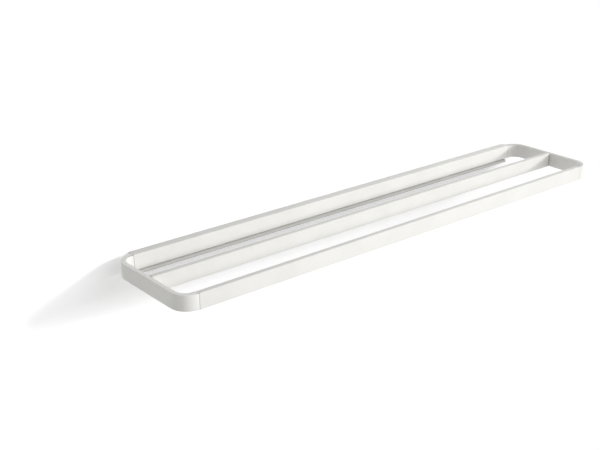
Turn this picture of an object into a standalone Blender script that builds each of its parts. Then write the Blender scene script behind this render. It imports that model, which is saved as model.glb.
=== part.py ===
"""Double towel bar for a bathroom wall.

A flat frame of thin, tall strips: two U-shaped end castings and three extruded bars between them.
The back bar hooks over a long wall rail and one screw under the middle locks it there.

Metres, +Z up. The wall is the plane Y = 0, the frame stands out from it towards -Y, and X runs along
the bars. The origin is on the wall, halfway along the rail, at the height of its wall screws.
"""

import math

import bmesh
import bpy

# Frame
FRAME_LENGTH = 0.600
FRAME_REACH = 0.1234
FRAME_HEIGHT = 0.017
STRIP_THICKNESS = 0.006
MIDDLE_BAR_REACH = 0.0634
CORNER_RADIUS = 0.019
SEAM_STRAIGHT = 0.0005
SEAM_GAP = 0.0002
EDGE_RADIUS = 0.0008

# Inside of the bars, and the tenons of the end castings that fill them
BAR_SIDE_WALL = 0.0015
BAR_FLOOR = 0.003
TENON_LENGTH = 0.016
TENON_ROOT = 0.002
TENON_LEAD = 0.0006

# Hook along the back of the back bar
BACK_BAR_DEPTH = 0.011
HOOK_WEB = 0.0026
TONGUE_THICKNESS = 0.0018

# Wall rail
RAIL_LENGTH = 0.550
RAIL_LEG = 0.0024
RAIL_STEP = 0.0013
FLANGE_THICKNESS = 0.0031
LIP_REACH = 0.0032
LIP_EDGE_RADIUS = 0.0009
LIP_CORNER_RADIUS = 0.0030
EXTRUSION_FILLET = 0.0003

# Wall screws and plugs
WALL_SCREW_RADIUS = 0.00175
WALL_SCREW_HEAD_RADIUS = 0.0035
WALL_SCREW_LENGTH = 0.030
WALL_SCREW_TIP = 0.005
WALL_SCREW_POINT_RADIUS = 0.0003
WALL_SCREW_HEAD_RIM = 0.0002
CROSS_RECESS_WIDTH = 0.0009
CROSS_RECESS_SPAN = 0.0036
CROSS_RECESS_DEPTH = 0.0014
OUTER_SCREW_SPACING = 0.490
INNER_SCREW_SPACING = 0.180
PLUG_RADIUS = 0.003
PLUG_LENGTH = 0.030
PLUG_RECESS = 0.0025
PLUG_RIB_PITCH = 0.0055
PLUG_RIB_DEPTH = 0.0004
PLUG_COLLAR = 0.004
PLUG_TIP_RADIUS = 0.002
PLUG_END_WALL = 0.0015

# Locking screw under the middle of the rail: a headless one with a hexagon socket
LOCK_SCREW_RADIUS = 0.002
LOCK_SCREW_LENGTH = 0.006
LOCK_SCREW_STANDOUT = 0.001
LOCK_SCREW_CHAMFER = 0.0004
LOCK_SOCKET_FLATS = 0.002
LOCK_SOCKET_DEPTH = 0.002

CLEARANCE = 0.0003
CUT_OVERRUN = 0.001
MERGE_DISTANCE = 0.000001

# Facets
CORNER_STEPS = 14
EDGE_STEPS = 3
ROUND_STEPS = 32
HEXAGON_SIDES = 6
SMOOTH_ANGLE = math.radians(35)
FLAT_ANGLE = math.radians(0.1)

# Places that follow from the sizes above
HALF_LENGTH = FRAME_LENGTH / 2
SEAM_X = HALF_LENGTH - CORNER_RADIUS - SEAM_STRAIGHT
STRAIGHT_BAR_HALF = SEAM_X - SEAM_GAP
MIDDLE_BAR_HALF = HALF_LENGTH - STRIP_THICKNESS - SEAM_GAP
COUNTERSINK_RADIUS = WALL_SCREW_HEAD_RADIUS + CLEARANCE
SCREW_LINE = COUNTERSINK_RADIUS + EXTRUSION_FILLET - CLEARANCE
FRAME_BOTTOM = -SCREW_LINE
FRAME_TOP = FRAME_BOTTOM + FRAME_HEIGHT
FRAME_MIDDLE = (FRAME_BOTTOM + FRAME_TOP) / 2
FLANGE_TOP = FRAME_BOTTOM - CLEARANCE
FLANGE_BOTTOM = FLANGE_TOP - FLANGE_THICKNESS
STEP_BOTTOM = COUNTERSINK_RADIUS + EXTRUSION_FILLET
LEG_TOP = STEP_BOTTOM + RAIL_STEP
TONGUE_BOTTOM = LEG_TOP + CLEARANCE
WEB_BOTTOM = FRAME_TOP - HOOK_WEB
BACK_INNER_FACE = -(BACK_BAR_DEPTH - STRIP_THICKNESS)
TONGUE_BACK = -CLEARANCE
TONGUE_FRONT = TONGUE_BACK - TONGUE_THICKNESS
UPSTAND_BACK = TONGUE_FRONT - CLEARANCE
UPSTAND_FRONT = BACK_INNER_FACE + CLEARANCE
FRONT_BAR_Y = -(FRAME_REACH - STRIP_THICKNESS / 2)
MIDDLE_BAR_Y = -MIDDLE_BAR_REACH
BACK_BAR_Y = -(BACK_BAR_DEPTH - STRIP_THICKNESS / 2)
LIP_FRONT = -(BACK_BAR_DEPTH + LIP_REACH)
LOCK_SCREW_BOTTOM = FLANGE_BOTTOM - LOCK_SCREW_STANDOUT

BARS_COLLECTION = "double_towel_bar"
CUTTERS_COLLECTION = "cutters"


def clear_scene():
    """Remove every object and collection that the scene starts with."""
    for thing in list(bpy.data.objects):
        bpy.data.objects.remove(thing, do_unlink=True)
    for collection in list(bpy.data.collections):
        bpy.data.collections.remove(collection)


def add_collection(name):
    """A new collection under the scene's own."""
    collection = bpy.data.collections.new(name)
    bpy.context.scene.collection.children.link(collection)
    return collection


def finish(name, colour, roughness, metallic):
    """A Principled material of one colour."""
    made = bpy.data.materials.new(name)
    made.use_nodes = True
    shader = made.node_tree.nodes["Principled BSDF"]
    shader.inputs["Base Color"].default_value = (*colour, 1.0)
    shader.inputs["Roughness"].default_value = roughness
    shader.inputs["Metallic"].default_value = metallic
    return made


def powder_coat(name):
    """Off-white powder coat, as on every visible piece of the frame."""
    return finish(name + "_coat", (0.80, 0.80, 0.77), 0.48, 0.0)


def steel(name):
    """Plain stainless steel of the screws."""
    return finish(name + "_steel", (0.62, 0.61, 0.59), 0.32, 1.0)


def nylon(name):
    """Grey nylon of the wall plugs."""
    return finish(name + "_nylon", (0.36, 0.37, 0.38), 0.55, 0.0)


def facets_in_corner(radius):
    """How many facets a quarter turn of this radius gets: the frame's corners most, its edges few."""
    return max(EDGE_STEPS, round(CORNER_STEPS * radius / CORNER_RADIUS))


def filleted(corners):
    """Points of a closed outline, with a round stretch at each (x, y, radius) corner that has a radius."""
    points = []
    for index, (x, y, radius) in enumerate(corners):
        if not radius:
            points.append((x, y))
            continue
        before = corners[index - 1]
        after = corners[(index + 1) % len(corners)]
        inward = math.atan2(before[1] - y, before[0] - x)
        outward = math.atan2(after[1] - y, after[0] - x)
        turn = (outward - inward + math.pi) % math.tau - math.pi
        reach = radius / math.tan(abs(turn) / 2)
        centre_angle = inward + turn / 2
        centre_distance = math.hypot(radius, reach)
        centre_x = x + centre_distance * math.cos(centre_angle)
        centre_y = y + centre_distance * math.sin(centre_angle)
        first = math.atan2(
            y + reach * math.sin(inward) - centre_y, x + reach * math.cos(inward) - centre_x
        )
        sweep = math.copysign(math.pi - abs(turn), -turn)
        steps = facets_in_corner(radius)
        for step in range(steps + 1):
            angle = first + sweep * step / steps
            points.append((centre_x + radius * math.cos(angle), centre_y + radius * math.sin(angle)))
    return points


def box_corners(width, height, radius):
    """Corners of a rectangle centred on zero, as filleted() takes them."""
    return [
        (-width / 2, -height / 2, radius),
        (width / 2, -height / 2, radius),
        (width / 2, height / 2, radius),
        (-width / 2, height / 2, radius),
    ]


def outline_mesh(name, outlines, depth):
    """Mesh of flat outlines in local XY, filled and drawn out along local Z. An outline inside another is a hole."""
    curve = bpy.data.curves.new(name, "CURVE")
    curve.dimensions = "2D"
    curve.fill_mode = "BOTH"
    curve.extrude = depth / 2
    for outline in outlines:
        spline = curve.splines.new("POLY")
        spline.points.add(len(outline) - 1)
        for point, (x, y) in zip(spline.points, outline):
            point.co = (x, y, 0, 1)
        spline.use_cyclic_u = True
    drawn = bpy.data.objects.new(name, curve)
    bpy.context.scene.collection.objects.link(drawn)
    evaluated = drawn.evaluated_get(bpy.context.evaluated_depsgraph_get())
    mesh = bpy.data.meshes.new_from_object(evaluated)
    bpy.data.objects.remove(drawn)
    bpy.data.curves.remove(curve)
    shape = bmesh.new()
    shape.from_mesh(mesh)
    bmesh.ops.remove_doubles(shape, verts=shape.verts, dist=MERGE_DISTANCE)
    bmesh.ops.dissolve_limit(
        shape, angle_limit=FLAT_ANGLE, verts=shape.verts, edges=shape.edges
    )
    bmesh.ops.recalc_face_normals(shape, faces=shape.faces)
    shape.to_mesh(mesh)
    shape.free()
    mesh.name = name
    return mesh


def place(name, mesh, collection, location=(0, 0, 0), rotation=(0, 0, 0), material=None):
    """An object for a mesh, in its collection, shaded smooth between sharp edges."""
    piece = bpy.data.objects.new(name, mesh)
    piece.location = location
    piece.rotation_euler = rotation
    if material:
        mesh.materials.clear()
        mesh.materials.append(material)
        mesh.shade_smooth()
        mesh.set_sharp_from_angle(angle=SMOOTH_ANGLE)
    collection.objects.link(piece)
    return piece


def place_helper(name, mesh, cutters, location, rotation=(0, 0, 0)):
    """A shape that only cuts or joins others: drawn as wire and left out of renders."""
    helper = place(name, mesh, cutters, location, rotation)
    helper.hide_render = True
    helper.display_type = "WIRE"
    return helper


def combine(piece, helper, operation):
    """Cut a helper from a piece, or join it on."""
    change = piece.modifiers.new(helper.name, "BOOLEAN")
    change.operation = operation
    change.solver = "EXACT"
    change.object = helper


def cylinder_mesh(name, radius, depth, sides=ROUND_STEPS):
    """A closed cylinder or prism along local Z, centred on zero."""
    shape = bmesh.new()
    bmesh.ops.create_cone(
        shape,
        cap_ends=True,
        segments=sides,
        radius1=radius,
        radius2=radius,
        depth=depth,
    )
    mesh = bpy.data.meshes.new(name)
    shape.to_mesh(mesh)
    shape.free()
    return mesh


def block_mesh(name, size):
    """A closed block of the given size, centred on zero."""
    shape = bmesh.new()
    bmesh.ops.create_cube(shape, size=1)
    bmesh.ops.scale(shape, vec=size, verts=shape.verts)
    mesh = bpy.data.meshes.new(name)
    shape.to_mesh(mesh)
    shape.free()
    return mesh


def turned_mesh(name, profile):
    """A turned solid: (radius, height) points that start and end on the axis and run down the outer side."""
    mesh = bpy.data.meshes.new(name)
    mesh.from_pydata(
        [(radius, 0, height) for radius, height in profile],
        [(index, index + 1) for index in range(len(profile) - 1)],
        [],
    )
    lathe = bpy.data.objects.new(name, mesh)
    bpy.context.scene.collection.objects.link(lathe)
    screw = lathe.modifiers.new("turn", "SCREW")
    screw.axis = "Z"
    screw.angle = math.tau
    screw.steps = ROUND_STEPS
    screw.render_steps = ROUND_STEPS
    screw.use_merge_vertices = True
    screw.merge_threshold = MERGE_DISTANCE
    evaluated = lathe.evaluated_get(bpy.context.evaluated_depsgraph_get())
    turned = bpy.data.meshes.new_from_object(evaluated)
    bpy.data.objects.remove(lathe)
    bpy.data.meshes.remove(mesh)
    turned.name = name
    return turned


def bar_cavity():
    """Outline of the slot inside a hollow bar, centred on the bar's strip."""
    width = STRIP_THICKNESS - 2 * BAR_SIDE_WALL
    height = FRAME_HEIGHT - 2 * BAR_FLOOR
    return filleted(box_corners(width, height, EXTRUSION_FILLET))


def along_x():
    """Rotation that lays a section drawn in local XY across world YZ, drawn out along world X."""
    return (math.pi / 2, 0, math.pi / 2)


def facing_out():
    """Rotation that turns a piece's local Z straight out from the wall."""
    return (math.pi / 2, 0, 0)


def hollow_bar(name, half_length, y, parts):
    """A straight hollow bar: a rounded strip section with the tenon slot right through it."""
    section = filleted(box_corners(STRIP_THICKNESS, FRAME_HEIGHT, EDGE_RADIUS))
    mesh = outline_mesh(name, [section, bar_cavity()], 2 * half_length)
    return place(name, mesh, parts, (0, y, FRAME_MIDDLE), along_x(), powder_coat(name))


def back_bar(parts):
    """The back bar: the same hollow strip with a web to the wall and a tongue that hangs down behind the rail."""
    front = -BACK_BAR_DEPTH
    section = filleted(
        [
            (front, FRAME_BOTTOM, EDGE_RADIUS),
            (BACK_INNER_FACE, FRAME_BOTTOM, EXTRUSION_FILLET),
            (BACK_INNER_FACE, WEB_BOTTOM, EXTRUSION_FILLET),
            (TONGUE_FRONT, WEB_BOTTOM, EXTRUSION_FILLET),
            (TONGUE_FRONT, TONGUE_BOTTOM, EXTRUSION_FILLET),
            (TONGUE_BACK, TONGUE_BOTTOM, EXTRUSION_FILLET),
            (TONGUE_BACK, FRAME_TOP, EDGE_RADIUS),
            (front, FRAME_TOP, EDGE_RADIUS),
        ]
    )
    slot = [(BACK_BAR_Y + y, FRAME_MIDDLE + z) for y, z in bar_cavity()]
    mesh = outline_mesh("back_bar", [section, slot], 2 * STRAIGHT_BAR_HALF)
    return place("back_bar", mesh, parts, (0, 0, 0), along_x(), powder_coat("back_bar"))


def wall_rail(parts, cutters):
    """The wall rail: a leg on the wall, an upstand held off it for the tongue, and a flange under the back bar."""
    section = filleted(
        [
            (0, FLANGE_BOTTOM, EXTRUSION_FILLET),
            (0, LEG_TOP, EXTRUSION_FILLET),
            (UPSTAND_BACK, LEG_TOP, EXTRUSION_FILLET),
            (UPSTAND_BACK, WEB_BOTTOM - CLEARANCE, EXTRUSION_FILLET),
            (UPSTAND_FRONT, WEB_BOTTOM - CLEARANCE, EXTRUSION_FILLET),
            (UPSTAND_FRONT, STEP_BOTTOM, EXTRUSION_FILLET),
            (-RAIL_LEG, STEP_BOTTOM, EXTRUSION_FILLET),
            (-RAIL_LEG, FLANGE_TOP, EXTRUSION_FILLET),
            (LIP_FRONT, FLANGE_TOP, LIP_EDGE_RADIUS),
            (LIP_FRONT, FLANGE_BOTTOM, LIP_EDGE_RADIUS),
        ]
    )
    mesh = outline_mesh("wall_rail", [section], RAIL_LENGTH)
    rail = place("wall_rail", mesh, parts, (0, 0, 0), along_x(), powder_coat("wall_rail"))
    for side in (-1, 1):
        combine(rail, lip_corner_cutter(side, cutters), "DIFFERENCE")
    for index, x in enumerate(wall_screw_places()):
        combine(rail, countersink_cutter(index + 1, x, cutters), "DIFFERENCE")
    return rail


def lip_corner_cutter(side, cutters):
    """What is cut away to round one front corner of the rail's flange, seen from above."""
    end = side * RAIL_LENGTH / 2
    radius = LIP_CORNER_RADIUS
    inner_end = end - side * radius
    arc = [
        (
            inner_end + side * radius * math.sin(math.pi / 2 * step / CORNER_STEPS),
            LIP_FRONT + radius - radius * math.cos(math.pi / 2 * step / CORNER_STEPS),
        )
        for step in range(CORNER_STEPS + 1)
    ]
    outside = [
        (end + side * CUT_OVERRUN, LIP_FRONT + radius),
        (end + side * CUT_OVERRUN, LIP_FRONT - CUT_OVERRUN),
        (inner_end, LIP_FRONT - CUT_OVERRUN),
    ]
    name = f"lip_corner_cutter_{'left' if side < 0 else 'right'}"
    mesh = outline_mesh(name, [arc + outside], FLANGE_THICKNESS + 2 * CUT_OVERRUN)
    return place_helper(name, mesh, cutters, (0, 0, FLANGE_TOP - FLANGE_THICKNESS / 2))


def wall_screw_places():
    """X of each wall screw, left to right."""
    outer = OUTER_SCREW_SPACING / 2
    inner = INNER_SCREW_SPACING / 2
    return [-outer, -inner, inner, outer]


def countersink_cutter(number, x, cutters):
    """The shank hole and the countersink of one wall screw, as one turned cutter."""
    hole_radius = WALL_SCREW_RADIUS + CLEARANCE
    cone_depth = COUNTERSINK_RADIUS - hole_radius
    profile = [
        (0, CUT_OVERRUN),
        (COUNTERSINK_RADIUS, CUT_OVERRUN),
        (COUNTERSINK_RADIUS, 0),
        (hole_radius, -cone_depth),
        (hole_radius, -RAIL_LEG - CUT_OVERRUN),
        (0, -RAIL_LEG - CUT_OVERRUN),
    ]
    mesh = turned_mesh(f"countersink_{number}", profile)
    return place_helper(mesh.name, mesh, cutters, (x, -RAIL_LEG, 0), facing_out())


def strip_edges(shape):
    """The long edges of an upright strip: its top and bottom outline, without the cut ends at the seams."""
    height = max(vert.co.z for vert in shape.verts)
    chosen = []
    for edge in shape.edges:
        first, second = (vert.co for vert in edge.verts)
        level = abs(first.z - second.z) < MERGE_DISTANCE and abs(abs(first.z) - height) < MERGE_DISTANCE
        across_seam = abs(first.x - second.x) < MERGE_DISTANCE and abs(abs(first.x) - SEAM_X) < MERGE_DISTANCE
        if level and not across_seam:
            chosen.append(edge)
    return chosen


def end_piece(side, parts, cutters):
    """One U-shaped end casting with its three tenons. Side is -1 for the left end and 1 for the right."""
    name = f"{'left' if side < 0 else 'right'}_end_piece"
    outer_x = side * HALF_LENGTH
    inner_x = side * (HALF_LENGTH - STRIP_THICKNESS)
    seam_x = side * SEAM_X
    front = -FRAME_REACH
    back = BACK_INNER_FACE
    outer_radius = CORNER_RADIUS
    inner_radius = CORNER_RADIUS - STRIP_THICKNESS
    outline = filleted(
        [
            (seam_x, front, 0),
            (outer_x, front, outer_radius),
            (outer_x, back, outer_radius),
            (seam_x, back, 0),
            (seam_x, back - STRIP_THICKNESS, 0),
            (inner_x, back - STRIP_THICKNESS, inner_radius),
            (inner_x, front + STRIP_THICKNESS, inner_radius),
            (seam_x, front + STRIP_THICKNESS, 0),
        ]
    )
    mesh = outline_mesh(name, [outline], FRAME_HEIGHT)
    shape = bmesh.new()
    shape.from_mesh(mesh)
    bmesh.ops.bevel(
        shape,
        geom=strip_edges(shape),
        offset=EDGE_RADIUS,
        offset_type="OFFSET",
        segments=EDGE_STEPS,
        profile=0.5,
        affect="EDGES",
    )
    shape.to_mesh(mesh)
    shape.free()
    piece = place(name, mesh, parts, (0, 0, FRAME_MIDDLE), (0, 0, 0), powder_coat(name))
    for bar, root_x, y in (
        ("front", seam_x, FRONT_BAR_Y),
        ("middle", inner_x, MIDDLE_BAR_Y),
        ("back", seam_x, BACK_BAR_Y),
    ):
        combine(piece, tenon(f"{name}_{bar}_tenon", side, root_x, y, cutters), "UNION")
    return piece


def tenon(name, side, root_x, y, cutters):
    """A tenon that stands out of an end casting into a bar, with its tip eased on all four sides."""
    width = STRIP_THICKNESS - 2 * BAR_SIDE_WALL - 2 * CLEARANCE
    height = FRAME_HEIGHT - 2 * BAR_FLOOR - 2 * CLEARANCE
    length = TENON_LENGTH + TENON_ROOT
    mesh = block_mesh(name, (length, width, height))
    shape = bmesh.new()
    shape.from_mesh(mesh)
    tip = [
        edge
        for edge in shape.edges
        if all(abs(vert.co.x + side * length / 2) < MERGE_DISTANCE for vert in edge.verts)
    ]
    bmesh.ops.bevel(
        shape, geom=tip, offset=TENON_LEAD, offset_type="OFFSET", segments=1, affect="EDGES"
    )
    shape.to_mesh(mesh)
    shape.free()
    centre_x = root_x + side * (TENON_ROOT - length / 2)
    return place_helper(name, mesh, cutters, (centre_x, y, FRAME_MIDDLE))


def locking_screw(rail, bar, parts, cutters):
    """The headless screw that goes up through the flange into the back bar's floor, with its hole."""
    profile = [
        (0, LOCK_SCREW_LENGTH),
        (LOCK_SCREW_RADIUS - LOCK_SCREW_CHAMFER, LOCK_SCREW_LENGTH),
        (LOCK_SCREW_RADIUS, LOCK_SCREW_LENGTH - LOCK_SCREW_CHAMFER),
        (LOCK_SCREW_RADIUS, LOCK_SCREW_CHAMFER),
        (LOCK_SCREW_RADIUS - LOCK_SCREW_CHAMFER, 0),
        (0, 0),
    ]
    name = "locking_screw"
    low_point = (0, BACK_BAR_Y, LOCK_SCREW_BOTTOM)
    screw = place(name, turned_mesh(name, profile), parts, low_point, (0, 0, 0), steel(name))
    combine(screw, locking_socket_cutter(cutters), "DIFFERENCE")
    low = LOCK_SCREW_BOTTOM - CUT_OVERRUN
    high = LOCK_SCREW_BOTTOM + LOCK_SCREW_LENGTH + CLEARANCE
    hole = cylinder_mesh("locking_hole", LOCK_SCREW_RADIUS + CLEARANCE, high - low)
    cutter = place_helper(hole.name, hole, cutters, (0, BACK_BAR_Y, (low + high) / 2))
    for piece in (rail, bar):
        combine(piece, cutter, "DIFFERENCE")


def locking_socket_cutter(cutters):
    """The hexagon socket in the locking screw's lower end."""
    corner_radius = LOCK_SOCKET_FLATS / 2 / math.cos(math.pi / HEXAGON_SIDES)
    height = LOCK_SOCKET_DEPTH + CUT_OVERRUN
    mesh = cylinder_mesh("locking_socket", corner_radius, height, sides=HEXAGON_SIDES)
    middle = LOCK_SCREW_BOTTOM + (LOCK_SOCKET_DEPTH - CUT_OVERRUN) / 2
    return place_helper(mesh.name, mesh, cutters, (0, BACK_BAR_Y, middle))


def wall_screw_mesh(name):
    """A countersunk wood screw along local Z, its head's face at zero."""
    cone_depth = WALL_SCREW_HEAD_RADIUS - WALL_SCREW_RADIUS
    length = WALL_SCREW_LENGTH
    return turned_mesh(
        name,
        [
            (0, 0),
            (WALL_SCREW_HEAD_RADIUS - WALL_SCREW_HEAD_RIM, 0),
            (WALL_SCREW_HEAD_RADIUS - WALL_SCREW_HEAD_RIM, -WALL_SCREW_HEAD_RIM),
            (WALL_SCREW_RADIUS, -cone_depth),
            (WALL_SCREW_RADIUS, -length + WALL_SCREW_TIP),
            (WALL_SCREW_POINT_RADIUS, -length),
            (0, -length),
        ],
    )


def plug_mesh(name):
    """A ribbed nylon wall plug along local Z, its mouth at zero, with a blind bore for the screw."""
    bore = WALL_SCREW_RADIUS + CLEARANCE
    profile = [
        (0, -PLUG_LENGTH + PLUG_END_WALL),
        (bore, -PLUG_LENGTH + PLUG_END_WALL + bore),
        (bore, 0),
        (PLUG_RADIUS, 0),
        (PLUG_RADIUS, -PLUG_COLLAR),
    ]
    ribbed = PLUG_LENGTH - 2 * PLUG_COLLAR
    ribs = max(1, int(ribbed / PLUG_RIB_PITCH))
    pitch = ribbed / ribs
    for rib in range(ribs):
        top = -PLUG_COLLAR - rib * pitch
        profile.append((PLUG_RADIUS - PLUG_RIB_DEPTH, top - PLUG_RIB_DEPTH))
        profile.append((PLUG_RADIUS - PLUG_RIB_DEPTH, top - pitch / 2))
        profile.append((PLUG_RADIUS, top - pitch + PLUG_RIB_DEPTH))
        profile.append((PLUG_RADIUS, top - pitch))
    profile.append((PLUG_TIP_RADIUS, -PLUG_LENGTH))
    profile.append((0, -PLUG_LENGTH))
    return turned_mesh(name, profile)


def wall_fixings(parts, cutters):
    """The wall screws, each with a cross recess, and the plugs that they hold in."""
    for index, x in enumerate(wall_screw_places()):
        name = f"wall_screw_{index + 1}"
        mesh = wall_screw_mesh(name)
        screw = place(name, mesh, parts, (x, -RAIL_LEG, 0), facing_out(), steel(name))
        depth = CROSS_RECESS_DEPTH + CUT_OVERRUN
        recess_y = -RAIL_LEG + (CROSS_RECESS_DEPTH - CUT_OVERRUN) / 2
        for arm, size in (
            ("level", (CROSS_RECESS_SPAN, depth, CROSS_RECESS_WIDTH)),
            ("upright", (CROSS_RECESS_WIDTH, depth, CROSS_RECESS_SPAN)),
        ):
            mesh = block_mesh(f"{name}_{arm}_recess", size)
            combine(screw, place_helper(mesh.name, mesh, cutters, (x, recess_y, 0)), "DIFFERENCE")
        plug = f"wall_plug_{index + 1}"
        place(plug, plug_mesh(plug), parts, (x, PLUG_RECESS, 0), facing_out(), nylon(plug))


def hang_on_origin(parts):
    """Parent every piece to one empty on the wall, so that the whole bar moves as one."""
    wall_point = bpy.data.objects.new("wall_point", None)
    parts.objects.link(wall_point)
    for piece in parts.objects:
        if piece is not wall_point:
            piece.parent = wall_point


def build():
    """Make every piece of the towel bar."""
    clear_scene()
    parts = add_collection(BARS_COLLECTION)
    cutters = add_collection(CUTTERS_COLLECTION)
    for side in (-1, 1):
        end_piece(side, parts, cutters)
    hollow_bar("front_bar", STRAIGHT_BAR_HALF, FRONT_BAR_Y, parts)
    hollow_bar("middle_bar", MIDDLE_BAR_HALF, MIDDLE_BAR_Y, parts)
    back = back_bar(parts)
    rail = wall_rail(parts, cutters)
    locking_screw(rail, back, parts, cutters)
    wall_fixings(parts, cutters)
    hang_on_origin(parts)


build()
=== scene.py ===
"""Looks of a double towel bar: a powder-coated frame on its wall rail, with its fixings.

Every length is in metres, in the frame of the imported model: +X along the bars, +Y into the wall and
+Z up. Each piece is a class that holds its sizes and builds its meshes. Each finish is a class that
builds one procedural material. The studio holds the wall, the floor, the lamps and the camera.
"""

import logging
import math
from abc import ABC, abstractmethod
from collections.abc import Iterable, Sequence
from dataclasses import dataclass, field
from enum import Enum

import bmesh
import bpy
from mathutils import Matrix, Vector
from mathutils.geometry import tessellate_polygon


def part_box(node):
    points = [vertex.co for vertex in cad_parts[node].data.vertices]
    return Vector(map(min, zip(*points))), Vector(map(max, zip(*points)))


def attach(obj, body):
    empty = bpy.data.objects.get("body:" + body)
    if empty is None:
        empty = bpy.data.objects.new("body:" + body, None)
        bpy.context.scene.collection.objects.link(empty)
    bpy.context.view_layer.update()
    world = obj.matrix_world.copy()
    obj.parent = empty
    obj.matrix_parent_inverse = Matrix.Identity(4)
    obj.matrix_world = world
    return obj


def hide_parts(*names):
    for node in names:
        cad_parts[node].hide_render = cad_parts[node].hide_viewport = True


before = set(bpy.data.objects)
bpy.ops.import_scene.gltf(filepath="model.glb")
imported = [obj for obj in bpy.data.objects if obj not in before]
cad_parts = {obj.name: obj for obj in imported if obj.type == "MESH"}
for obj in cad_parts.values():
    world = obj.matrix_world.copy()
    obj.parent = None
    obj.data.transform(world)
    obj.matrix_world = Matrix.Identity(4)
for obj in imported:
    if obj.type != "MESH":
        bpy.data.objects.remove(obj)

LOG = logging.getLogger("towel_bar")
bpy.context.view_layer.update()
ROOT_BODY = "root"
WHITE = (1.0, 1.0, 1.0, 1.0)

Point = tuple[float, float]
Colour = tuple[float, float, float]
Edge = bmesh.types.BMEdge
Shape = bmesh.types.BMesh
Socket = bpy.types.NodeSocket

QUARTER_TURN = math.pi / 2
HARD_ANGLE = math.radians(30)
SMOOTH_ANGLE = math.radians(38)
MERGE_DISTANCE = 1e-7
SLIVER_WIDTH = 2e-6
CUT_OVERRUN = 0.001
QUARTER_STEPS = 10
CORNER_STEPS = 40
TURNED_STEPS = 48
SAWN_EDGE_STEPS = 2

FULL_RANGE: Point = (0.0, 1.0)
# The Mix node's two inputs and its output, for each kind of value.
MIX_SOCKETS = {"FLOAT": (2, 3, 0), "RGBA": (6, 7, 2)}


class Side(Enum):
    """The end of the frame that a piece belongs to."""

    LEFT = -1
    RIGHT = 1

    @property
    def label(self) -> str:
        """The side's name as it stands in the names of the pieces."""
        return self.name.lower()


class Slot(Enum):
    """The record's material slots."""

    COAT = "powder_coat"
    STEEL = "steel"
    NYLON = "nylon"


class CutKind(Enum):
    """What a Boolean does with the second shape."""

    REMOVE = "DIFFERENCE"
    JOIN = "UNION"


@dataclass(frozen=True)
class Corner:
    """A corner of an outline, with the radius that rounds it.

    Attributes:
        across: place along the outline's first axis.
        up: place along the outline's second axis.
        radius: radius of the round stretch, or 0 for a sharp corner.
        steps: how many facets the round stretch gets.
    """

    across: float
    up: float
    radius: float = 0.0
    steps: int = QUARTER_STEPS


def round_stretch(before: Corner, corner: Corner, after: Corner) -> list[Point]:
    """The points that stand for one corner of an outline.

    Args:
        before: the corner that comes before it.
        corner: the corner itself.
        after: the corner that follows.

    Returns:
        One point for a sharp corner, and an arc for a rounded one.
    """
    if not corner.radius:
        return [(corner.across, corner.up)]
    inward = math.atan2(before.up - corner.up, before.across - corner.across)
    outward = math.atan2(after.up - corner.up, after.across - corner.across)
    turn = (outward - inward + math.pi) % math.tau - math.pi
    reach = corner.radius / math.tan(abs(turn) / 2)
    centre_angle = inward + turn / 2
    centre_distance = math.hypot(corner.radius, reach)
    centre_across = corner.across + centre_distance * math.cos(centre_angle)
    centre_up = corner.up + centre_distance * math.sin(centre_angle)
    start_across = corner.across + reach * math.cos(inward) - centre_across
    start_up = corner.up + reach * math.sin(inward) - centre_up
    start = math.atan2(start_up, start_across)
    sweep = math.copysign(math.pi - abs(turn), -turn)
    angles = [start + sweep * step / corner.steps for step in range(corner.steps + 1)]
    radius = corner.radius
    return [
        (centre_across + radius * math.cos(angle), centre_up + radius * math.sin(angle))
        for angle in angles
    ]


def outline(corners: Sequence[Corner]) -> list[Point]:
    """The points of a closed outline with its corners rounded.

    Args:
        corners: the corners in order.

    Returns:
        The points in the same order.
    """
    points: list[Point] = []
    for index, corner in enumerate(corners):
        following = corners[(index + 1) % len(corners)]
        points.extend(round_stretch(corners[index - 1], corner, following))
    return points


def rectangle(low: Point, high: Point, radius: float, steps: int = QUARTER_STEPS) -> list[Point]:
    """The points of a rectangle with rounded corners.

    Args:
        low: its lowest corner.
        high: its highest corner.
        radius: the radius at all four corners.
        steps: how many facets each corner gets.

    Returns:
        The points, anticlockwise.
    """
    return outline(
        [
            Corner(low[0], low[1], radius, steps),
            Corner(high[0], low[1], radius, steps),
            Corner(high[0], high[1], radius, steps),
            Corner(low[0], high[1], radius, steps),
        ]
    )


def turn_outward(shape: Shape) -> None:
    """Point every face of a closed shape outward.

    Args:
        shape: the shape, which is changed in place.
    """
    bmesh.ops.recalc_face_normals(shape, faces=shape.faces)
    if shape.calc_volume(signed=True) < 0:
        bmesh.ops.reverse_faces(shape, faces=shape.faces)


def prism(outlines: Sequence[Sequence[Point]], low: float, high: float) -> Shape:
    """A closed solid that draws flat outlines out along local Z.

    Args:
        outlines: the outer outline first, then any holes in it.
        low: where the solid starts along Z.
        high: where it ends.

    Returns:
        The solid, with its normals outward.
    """
    shape = bmesh.new()
    lower: list[bmesh.types.BMVert] = []
    upper: list[bmesh.types.BMVert] = []
    for points in outlines:
        first = len(lower)
        lower.extend(shape.verts.new((across, up, low)) for across, up in points)
        upper.extend(shape.verts.new((across, up, high)) for across, up in points)
        count = len(points)
        for index in range(count):
            here = first + index
            following = first + (index + 1) % count
            shape.faces.new((lower[here], lower[following], upper[following], upper[here]))
    flat = [[Vector((across, up, 0)) for across, up in points] for points in outlines]
    for triangle in tessellate_polygon(flat):
        shape.faces.new([lower[index] for index in triangle])
        shape.faces.new([upper[index] for index in triangle])
    turn_outward(shape)
    return shape


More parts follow.
